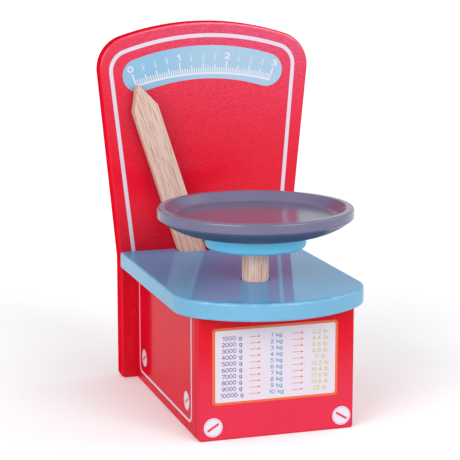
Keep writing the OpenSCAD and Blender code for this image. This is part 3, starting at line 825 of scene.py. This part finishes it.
def tree(name, *inputs):
    """A geometry tree with named inputs: (name, kind). Gives its graph and the input values."""
    made = bpy.data.node_groups.new(name, "GeometryNodeTree")
    made.interface.new_socket("Geometry", in_out="INPUT", socket_type="NodeSocketGeometry")
    for label, kind in inputs:
        made.interface.new_socket(label, in_out="INPUT", socket_type="NodeSocket" + kind)
    made.interface.new_socket("Geometry", in_out="OUTPUT", socket_type="NodeSocketGeometry")
    graph = Graph(made)
    entry = made.nodes.new("NodeGroupInput")
    return graph, {socket.name: Value(graph, socket) for socket in entry.outputs if socket.name}


def close(graph, geometry, material):
    """Ends a geometry tree: instances made real and a material set."""
    real = graph.node("GeometryNodeRealizeInstances", {}, {"Geometry": geometry})
    dressed = graph.node("GeometryNodeSetMaterial", {}, {"Geometry": real, "Material": material})
    graph.node("NodeGroupOutput", {}, {"Geometry": dressed})


def grow(name, graph, body, values, seed=None):
    """Runs a geometry tree once on a seed mesh and keeps the result as a plain mesh."""
    made = in_scene(name, seed or bpy.data.meshes.new(name))
    step = made.modifiers.new("grow", "NODES")
    step.node_group = graph.tree
    for item in graph.tree.interface.items_tree:
        if item.in_out == "INPUT" and item.name in values:
            step[item.identifier] = values[item.name]
    depsgraph = bpy.context.evaluated_depsgraph_get()
    mesh = bpy.data.meshes.new_from_object(made.evaluated_get(depsgraph), depsgraph=depsgraph)
    made.modifiers.clear()
    made.data = mesh
    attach(made, body)
    return made


def spring_graph():
    """A helix with close end curls."""
    g, of = tree("spring_helix", ("Curls", "Float"), ("Points a curl", "Int"), ("Coil radius", "Float"),
                 ("Wire radius", "Float"), ("Wire sides", "Int"), ("End pitch", "Float"), ("Rise", "Float"),
                 ("Centre", "Vector"), ("Material", "Material"))
    line = g.node("GeometryNodeMeshLine", {}, {"Count": of["Curls"] * of["Points a curl"] + 1})
    path = g.node("GeometryNodeMeshToCurve", {}, {"Mesh": line})
    curl = g.node("GeometryNodeInputIndex", {}, {}) / of["Points a curl"]
    angle = curl * (2 * pi)
    mid_curls = of["Curls"] - 2.0
    mid_pitch = (of["Rise"] - of["End pitch"] * 2.0) / mid_curls
    before = g.maths("MINIMUM", curl, 1.0)
    after = g.maths("MAXIMUM", curl - (mid_curls + 1.0), 0.0)
    height = (before + after) * of["End pitch"] + (curl - before - after) * mid_pitch
    spot = g.node("ShaderNodeCombineXYZ", {}, {
        "X": g.maths("COSINE", angle) * of["Coil radius"],
        "Y": g.maths("SINE", angle) * of["Coil radius"], "Z": height})
    coil = g.node("GeometryNodeSetPosition", {}, {
        "Geometry": path, "Position": g.vector("ADD", spot, of["Centre"])})
    ring = g.node("GeometryNodeCurvePrimitiveCircle", {}, {
        "Resolution": of["Wire sides"], "Radius": of["Wire radius"]})
    wire = g.node("GeometryNodeCurveToMesh", {}, {"Curve": coil, "Profile Curve": ring, "Fill Caps": True})
    close(g, g.node("GeometryNodeSetShadeSmooth", {}, {"Geometry": wire}), of["Material"])
    return g


spring = grow("spring", spring_graph(), "housing", {
    "Curls": float(CURLS), "Points a curl": CURL_POINTS, "Coil radius": COIL_R, "Wire radius": WIRE_R,
    "Wire sides": WIRE_SIDES, "End pitch": END_PITCH, "Rise": spring_hi.z - spring_lo.z - 2 * WIRE_R,
    "Centre": (0, POST_Y, spring_lo.z + WIRE_R), "Material": plated_steel})
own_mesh(spring)
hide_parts("return_spring")


# Prints: raised a hair over the paint
on_front = against(front_lo.y)


def on_board(u, v, h):
    x, z = turned(u, v - PRINT_Z, PRINT_LEAN, (0, PRINT_Z))
    return (x, board_lo.y - h, z)


def sheets(outlines, place, top):
    """Thin prisms over a face, their feet sunk in the paint. Neighbours differ a little in height."""
    verts, faces = [], []
    for k, outline in enumerate(outlines):
        n, start = len(outline), len(verts)
        over = top + k % 5 * STAGGER
        verts += [place(u, v, -SINK) for u, v in outline] + [place(u, v, over) for u, v in outline]
        faces.append(tuple(range(start, start + n)))
        faces.append(tuple(range(start + n, start + 2 * n)))
        faces += [(start + i, start + (i + 1) % n, start + n + (i + 1) % n, start + n + i) for i in range(n)]
    return verts, faces


def printed(name, outlines, place, top, material, slot="red_lacquer"):
    piece(name, sheets(outlines, place, top), material, "housing", slot)


def stroke(points, width):
    """Outline of an open line with round ends."""
    r, left, right = width / 2, [], []
    for i, (u, v) in enumerate(points):
        a, b = Vector(points[max(i - 1, 0)]), Vector(points[min(i + 1, len(points) - 1)])
        along = (b - a).normalized()
        if 0 < i < len(points) - 1:
            before = (Vector(points[i]) - a).normalized()
            r_here = r / max(MITRE, before.dot(along))
        else:
            r_here = r
        left.append((u - along.y * r_here, v + along.x * r_here))
        right.append((u + along.y * r_here, v - along.x * r_here))
    first, last = Vector(points[0]), Vector(points[-1])
    start = degrees(atan2(points[1][1] - first.y, points[1][0] - first.x))
    end = degrees(atan2(last.y - points[-2][1], last.x - points[-2][0]))
    return (right + arc(last, r, end - 90, end + 90, 30)[1:-1] + left[::-1]
            + arc(first, r, start + 90, start + 270, 30)[1:-1])


def spread(a, b, n):
    """n equal steps from a to b, both ends included."""
    return [a + (b - a) * i / n for i in range(n + 1)]


def bow(cx, cy, rx, ry, a0, a1):
    """Part of an ellipse."""
    return [(cx + rx * u, cy + ry * v) for u, v in arc((0, 0), 1, a0, a1, 20)]


def oval(cx, cy, rx, ry, a):
    """A whole ellipse in two strokes, from angle a on."""
    return [bow(cx, cy, rx, ry, a, a + 180), bow(cx, cy, rx, ry, a + 180, a + 360)]


# Strokes of the figures and unit signs, one high, and how far each moves on
GLYPHS = {
    "0": (0.72, oval(0.3, 0.5, 0.27, 0.5, -90)),
    "1": (0.5, [[(0.08, 0.8), (0.3, 1.0)], [(0.3, 1.0), (0.3, 0.0)]]),
    "2": (0.7, [bow(0.3, 0.72, 0.25, 0.28, 165, -38) + [(0.04, 0.0)], [(0.04, 0.0), (0.58, 0.0)]]),
    "3": (0.7, [bow(0.27, 0.75, 0.24, 0.25, 150, -90), bow(0.27, 0.26, 0.28, 0.26, 90, -150)]),
    "4": (0.72, [[(0.44, 0.0), (0.44, 1.0)], [(0.44, 1.0), (0.03, 0.3)], [(0.03, 0.3), (0.6, 0.3)]]),
    "5": (0.7, [[(0.52, 1.0), (0.12, 1.0)], [(0.12, 1.0), (0.08, 0.56)],
                bow(0.27, 0.31, 0.29, 0.31, 132, -150)]),
    "6": (0.7, [*oval(0.3, 0.3, 0.26, 0.3, 0), bow(0.5, 0.3, 0.46, 0.7, 180, 96)]),
    "7": (0.66, [[(0.03, 1.0), (0.57, 1.0)], [(0.57, 1.0), (0.2, 0.0)]]),
    "8": (0.7, [*oval(0.3, 0.76, 0.21, 0.24, -90), *oval(0.3, 0.26, 0.27, 0.26, -90)]),
    "9": (0.7, [*oval(0.3, 0.7, 0.26, 0.3, 0), bow(0.1, 0.7, 0.46, 0.7, 0, -84)]),
    ".": (0.3, [[(0.1, 0.0), (0.1, 0.05)]]),
    " ": (0.42, []),
    "g": (0.66, [*oval(0.27, 0.34, 0.24, 0.3, 0),
                 [(0.52, 0.64), (0.52, -0.08)] + bow(0.28, -0.08, 0.24, 0.22, 0, -140)[1:]]),
    "k": (0.58, [[(0.06, 0.0), (0.06, 1.0)], [(0.44, 0.64), (0.06, 0.26)], [(0.2, 0.38), (0.5, 0.0)]]),
    "l": (0.24, [[(0.08, 0.0), (0.08, 1.0)]]),
    "b": (0.68, [[(0.06, 0.0), (0.06, 1.0)], *oval(0.3, 0.32, 0.24, 0.32, -90)]),
}


def wording(text, high, width, centre, turn=0.0, wide=1.0):
    """Outlines of figures, high tall, drawn width thick round their centre and turned clockwise."""
    span = (sum(GLYPHS[c][0] for c in text) - LETTER_GAP) * high * wide
    outlines, pen = [], -span / 2
    for c in text:
        for line in GLYPHS[c][1]:
            spots = [turned(pen + u * high * wide, (v - 0.5) * high, -turn, centre) for u, v in line]
            outlines.append(stroke(spots, width))
        pen += GLYPHS[c][0] * high * wide
    return outlines


def swept(turn, out=0.0):
    """A spot out past the scale line on the way from the dial's middle, and that way's clockwise angle."""
    a = radians(turn)
    foot = Vector((SCALE_R * sin(a), SCALE_Z + SCALE_R * cos(a)))
    away = (foot - Vector((0, DIAL_Z))).normalized()
    return foot + away * out, degrees(atan2(away.x, away.y))


# Border line of the board, from the shelf up round the crown
rim = board_outline()
kink = next(i for i, point in enumerate(rim) if point[1] > FLARE_Z - MM)
outer, inner = (inset(rim, d)[kink:len(rim) - kink] for d in (BORDER_IN, BORDER_IN + BORDER_W))
border = [[outer[i], outer[i + 1], inner[i + 1], inner[i]] for i in range(len(outer) - 1)]

# Dial: blue band, scale line, figures and small fractions
cap_r, cap_at = (DIAL_OUT_R - DIAL_IN_R) / 2, (DIAL_OUT_R + DIAL_IN_R) / 2
right_a, left_a = 90 - DIAL_HALF, 90 + DIAL_HALF
right_end, left_end = ((cap_at * cos(a), DIAL_Z + cap_at * sin(a))
                       for a in (radians(right_a), radians(left_a)))
band = arc((0, DIAL_Z), DIAL_OUT_R, right_a, left_a, 2)
band += arc(left_end, cap_r, left_a, left_a + 180, 10)[1:-1]
band += arc((0, DIAL_Z), DIAL_IN_R, left_a, right_a, 2)
band += arc(right_end, cap_r, right_a - 180, right_a, 10)[1:-1]
sweep = (-SCALE_HALF, SCALE_HALF)
scale_line = [swept(a, -SCALE_W / 2)[0] for a in spread(*sweep, SCALE_STEPS)]
scale_line += [swept(a, SCALE_W / 2)[0] for a in spread(*sweep[::-1], SCALE_STEPS)]
figures, fractions = [], []
for i in range(UNITS + 1):
    at = -SCALE_HALF + 2 * SCALE_HALF * i / UNITS
    figures += wording(str(i), FIGURE_H, FIGURE_W, *swept(at, FIGURE_OUT), FIGURE_WIDE)
for i, (share, top, low) in product(range(UNITS), ((0.25, "1", "4"), (0.5, "1", "2"), (0.75, "3", "4"))):
    at = -SCALE_HALF + 2 * SCALE_HALF * (i + share) / UNITS
    for out, text in ((SMALL_OUT + SMALL_RISE, top), (SMALL_OUT - SMALL_RISE, low)):
        fractions += wording(text, SMALL_H, SMALL_W, *swept(at, out), SMALL_WIDE)
    spot, turn = swept(at, SMALL_OUT)
    across = Vector((cos(radians(turn)), -sin(radians(turn)))) * BAR_HALF
    fractions.append(stroke([spot - across, spot + across], SMALL_W))

printed("dial_band", [band], on_board, INK_H, dial_ink, "sky_lacquer")
printed("border_line", border, on_board, INK_H, white_ink)
printed("dial_figures", [scale_line] + figures, on_board, FIGURES_H, mark_ink, "sky_lacquer")
printed("dial_fractions", fractions, on_board, FIGURES_H, faint_ink, "sky_lacquer")


def tick_graph():
    """Ticks set out along the scale line, longer at each quarter, half and whole unit."""
    g, of = tree("dial_ticks", ("Divisions", "Int"), ("Unit divisions", "Int"), ("Swing", "Float"),
                 ("Middle turn", "Float"), ("Line radius", "Float"), ("Line centre", "Vector"),
                 ("Dial centre", "Vector"), ("Short", "Float"), ("Quarter", "Float"), ("Half", "Float"),
                 ("Unit", "Float"), ("Fine width", "Float"), ("Width", "Float"), ("Height", "Float"),
                 ("Material", "Material"))
    index = g.node("GeometryNodeInputIndex", {}, {})
    quarter, half, unit = (index % (of["Unit divisions"] / n) < 0.5 for n in (4.0, 2.0, 1.0))
    length = of["Short"] + quarter * (of["Quarter"] - of["Short"])
    length = length + half * (of["Half"] - of["Quarter"]) + unit * (of["Unit"] - of["Half"])
    width = of["Fine width"] + quarter * (of["Width"] - of["Fine width"])
    turn = of["Swing"] * (index / of["Divisions"] - 0.5) + of["Middle turn"]
    foot = g.node("ShaderNodeCombineXYZ", {}, {
        "X": g.maths("SINE", turn) * of["Line radius"], "Z": g.maths("COSINE", turn) * of["Line radius"]})
    foot = g.vector("ADD", foot, of["Line centre"])
    away = g.vector("NORMALIZE", g.vector("SUBTRACT", foot, of["Dial centre"]))
    halfway = g.node("ShaderNodeVectorMath", {"operation": "SCALE"}, {0: away, "Scale": length * 0.5})
    dots = g.node("GeometryNodeMeshLine", {}, {"Count": of["Divisions"] + 1})
    dots = g.node("GeometryNodeSetPosition", {}, {
        "Geometry": dots, "Position": g.vector("ADD", foot, halfway)})
    stretch = g.node("ShaderNodeCombineXYZ", {}, {"X": width, "Y": of["Height"], "Z": length})
    facing = g.node("ShaderNodeCombineXYZ", {}, {
        "Y": g.maths("ARCTAN2", g.part(away, "X"), g.part(away, "Z"))})
    close(g, g.node("GeometryNodeInstanceOnPoints", {}, {
        "Points": dots, "Instance": g.node("GeometryNodeMeshCube", {}, {"Size": (1, 1, 1)}),
        "Rotation": facing, "Scale": stretch}), of["Material"])
    return g


grow("dial_ticks", tick_graph(), "housing", {
    "Divisions": DIVISIONS, "Unit divisions": DIVISIONS // UNITS, "Swing": radians(2 * SCALE_HALF),
    "Middle turn": -radians(PRINT_LEAN), "Line radius": SCALE_R,
    "Line centre": on_board(0, SCALE_Z, 0), "Dial centre": on_board(0, DIAL_Z, 0),
    "Short": TICK_SHORT, "Quarter": TICK_QUARTER, "Half": TICK_HALF, "Unit": TICK_UNIT,
    "Fine width": TICK_FINE_W, "Width": TICK_W, "Height": TICKS_H, "Material": mark_ink})

# Table of weights on the front
printed("label_frame", [plate_outline(*LABEL_FRAME, LABEL_FRAME_R)], on_front, INK_H, orange_ink)
printed("label", [plate_outline(*LABEL, LABEL_R)], on_front, SECOND_H, label_ink)
row_zs = spread(ROW_TOP_Z, ROW_LOW_Z, len(POUNDS) - 1)
kilos = range(1, len(POUNDS) + 1)
for name, x, texts, tone in (("gram", MASS_X, [f"{1000 * kilo} g" for kilo in kilos], navy_ink),
                             ("kilo", KILO_X, [f"{kilo} kg" for kilo in kilos], teal_ink),
                             ("pound", POUND_X, [f"{pound} lb" for pound in POUNDS], olive_ink)):
    words = []
    for text, z in zip(texts, row_zs):
        words += wording(text, TEXT_H, TEXT_W, (x, z), wide=TEXT_WIDE)
    printed(name + "_column", words, on_front, THIRD_H, tone)


def print_graph():
    """One flat shape set on each point of a seed, turned by the point's own angle."""
    g, of = tree("repeated_print", ("Shape", "Object"), ("Material", "Material"))
    own_turn = g.node("GeometryNodeInputNamedAttribute", {"data_type": "FLOAT_VECTOR"}, {"Name": "turn"})
    shape = g.node("GeometryNodeObjectInfo", {}, {"Object": of["Shape"]}, "Geometry")
    close(g, g.node("GeometryNodeInstanceOnPoints", {}, {
        "Points": of["Geometry"], "Instance": shape, "Rotation": own_turn}), of["Material"])
    return g


def repeated(name, graph, outlines, top, spots, material):
    """The same flat shape at several spots: (place, turn about X, Y and Z)."""
    flat = bpy.data.meshes.new(name + "_shape")
    verts, faces = sheets(outlines, against(0), top)
    flat.from_pydata(verts, [], faces)
    shown = bpy.data.objects.new(name + "_shape", flat)
    seed = bpy.data.meshes.new(name)
    seed.from_pydata([spot for spot, _ in spots], [], [])
    turns = seed.attributes.new("turn", "FLOAT_VECTOR", "POINT")
    turns.data.foreach_set("vector", [value for _, turn in spots for value in turn])
    grow(name, graph, "housing", {"Shape": shown, "Material": material}, seed)
    bpy.data.objects.remove(shown)


prints = print_graph()
rows = [((x, front_lo.y, z), (0, 0, 0)) for z in row_zs for x in ARROW_XS]
repeated("arrows", prints, [ARROW], THIRD_H, rows, arrow_ink)
discs = [((x, front_lo.y, z), 0, tilt) for x, z, tilt in FRONT_DISCS]
discs += [((side * side_hi.x, y, z), side * pi / 2, tilt)
          for side in (-1, 1) for y, z, tilt in SIDE_DISCS]
upright = [(spot, (0, 0, facing)) for spot, facing, _ in discs]
tilted = [(spot, (0, -radians(tilt), facing)) for spot, facing, tilt in discs]
hoop = [[*arc((0, 0), RING_R, a, a + RING_STEP, RING_STEP / 2),
         *arc((0, 0), RING_R - RING_W, a + RING_STEP, a, RING_STEP / 2)] for a in range(0, 360, RING_STEP)]
slot = stroke([(-SLOT_L / 2, 0), (SLOT_L / 2, 0)], SLOT_W)
repeated("screw_discs", prints, [arc((0, 0), DISC_R, 0, 360, 8)[:-1]], INK_H, upright, disc_ink)
repeated("screw_rings", prints, hoop, SECOND_H, upright, ring_ink)
repeated("screw_slots", prints, [slot], THIRD_H, tilted, slot_ink)

# Thin line round three edges of each side
line = [(LINE_REAR_Y, LINE_TOP_Z)]
line += arc((LINE_REAR_Y - LINE_R, LINE_LOW_Z + LINE_R), LINE_R, 0, -90, 10)
line += arc((LINE_FRONT_Y + LINE_R, LINE_LOW_Z + LINE_R), LINE_R, -90, -180, 10)
line += [(LINE_FRONT_Y, LINE_TOP_Z)]
for name, x in (("right_line", side_hi.x), ("left_line", -side_hi.x)):
    printed(name, [stroke(line, LINE_W)], beside(x), INK_H, white_ink)


# Looks of the CAD nodes that stay
def dress(material, *nodes):
    for node in nodes:
        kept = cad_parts[node]
        kept.data.materials.clear()
        kept.data.materials.append(material)
        kept.data.shade_smooth()
        kept.data.set_sharp_from_angle(angle=radians(CAD_SHARP))


dress(inner_wood, "base_panel", "left_base_batten", "right_base_batten", "shelf_dowels", "front_dowels",
      "guide_rod", "drive_arm", "drive_pin", "pointer_lever", "pivot_spacer")
dress(plated_steel, "base_screws", "back_screws", "collar_screws", "arm_screw", "lever_screws",
      "pivot_screw", "pivot_washer")


# Floor and light
def table_top(g):
    cloud = g.noise(g.place(), FLOOR_CLOUDS, 3.0)
    body = g.mix(cloud, (0.96, 0.96, 0.96, 1.0), (0.98, 0.98, 0.98, 1.0))
    return {"Base Color": body, "Roughness": 0.9 + cloud * 0.05}


floor = bpy.data.meshes.new("floor")
floor.from_pydata([(x * FLOOR_HALF, y * FLOOR_HALF, 0) for x, y in ((-1, -1), (1, -1), (1, 1), (-1, 1))],
                  [], [(0, 1, 2, 3)])
floor.materials.append(principled("table_top", table_top))
in_scene("floor", floor)

# The room lights softly, and shows white behind the toy and in its gloss
world = bpy.data.worlds.new("studio")
world.use_nodes = True
world.node_tree.nodes.clear()
studio = Graph(world.node_tree)
seen = studio.maths("MAXIMUM", *(studio.node("ShaderNodeLightPath", {}, {}, ray)
                                 for ray in ("Is Camera Ray", "Is Glossy Ray")))
backdrop = studio.node("ShaderNodeBackground", {}, {
    "Color": studio.mix(seen, ROOM, WHITE), "Strength": seen * (1.0 - ROOM_LEVEL) + ROOM_LEVEL})
studio.node("ShaderNodeOutputWorld", {}, {"Surface": backdrop})
scene.world = world

for name, side, height, level, width in SUNS:
    lamp = bpy.data.lights.new(name, "SUN")
    lamp.energy = level
    lamp.angle = radians(width)
    made = in_scene(name, lamp)
    made.rotation_euler = Euler((radians(90 - height), 0, radians(side)))

lens = bpy.data.cameras.new("camera")
lens.sensor_width = EYE_SENSOR
lens.lens = EYE_LENS
eye = in_scene("camera", lens)
eye.location = EYE
eye.rotation_euler = Euler((radians(90 - EYE_DOWN), 0, radians(-EYE_TURN)))
scene.camera = eye
scene.view_settings.view_transform = "Standard"
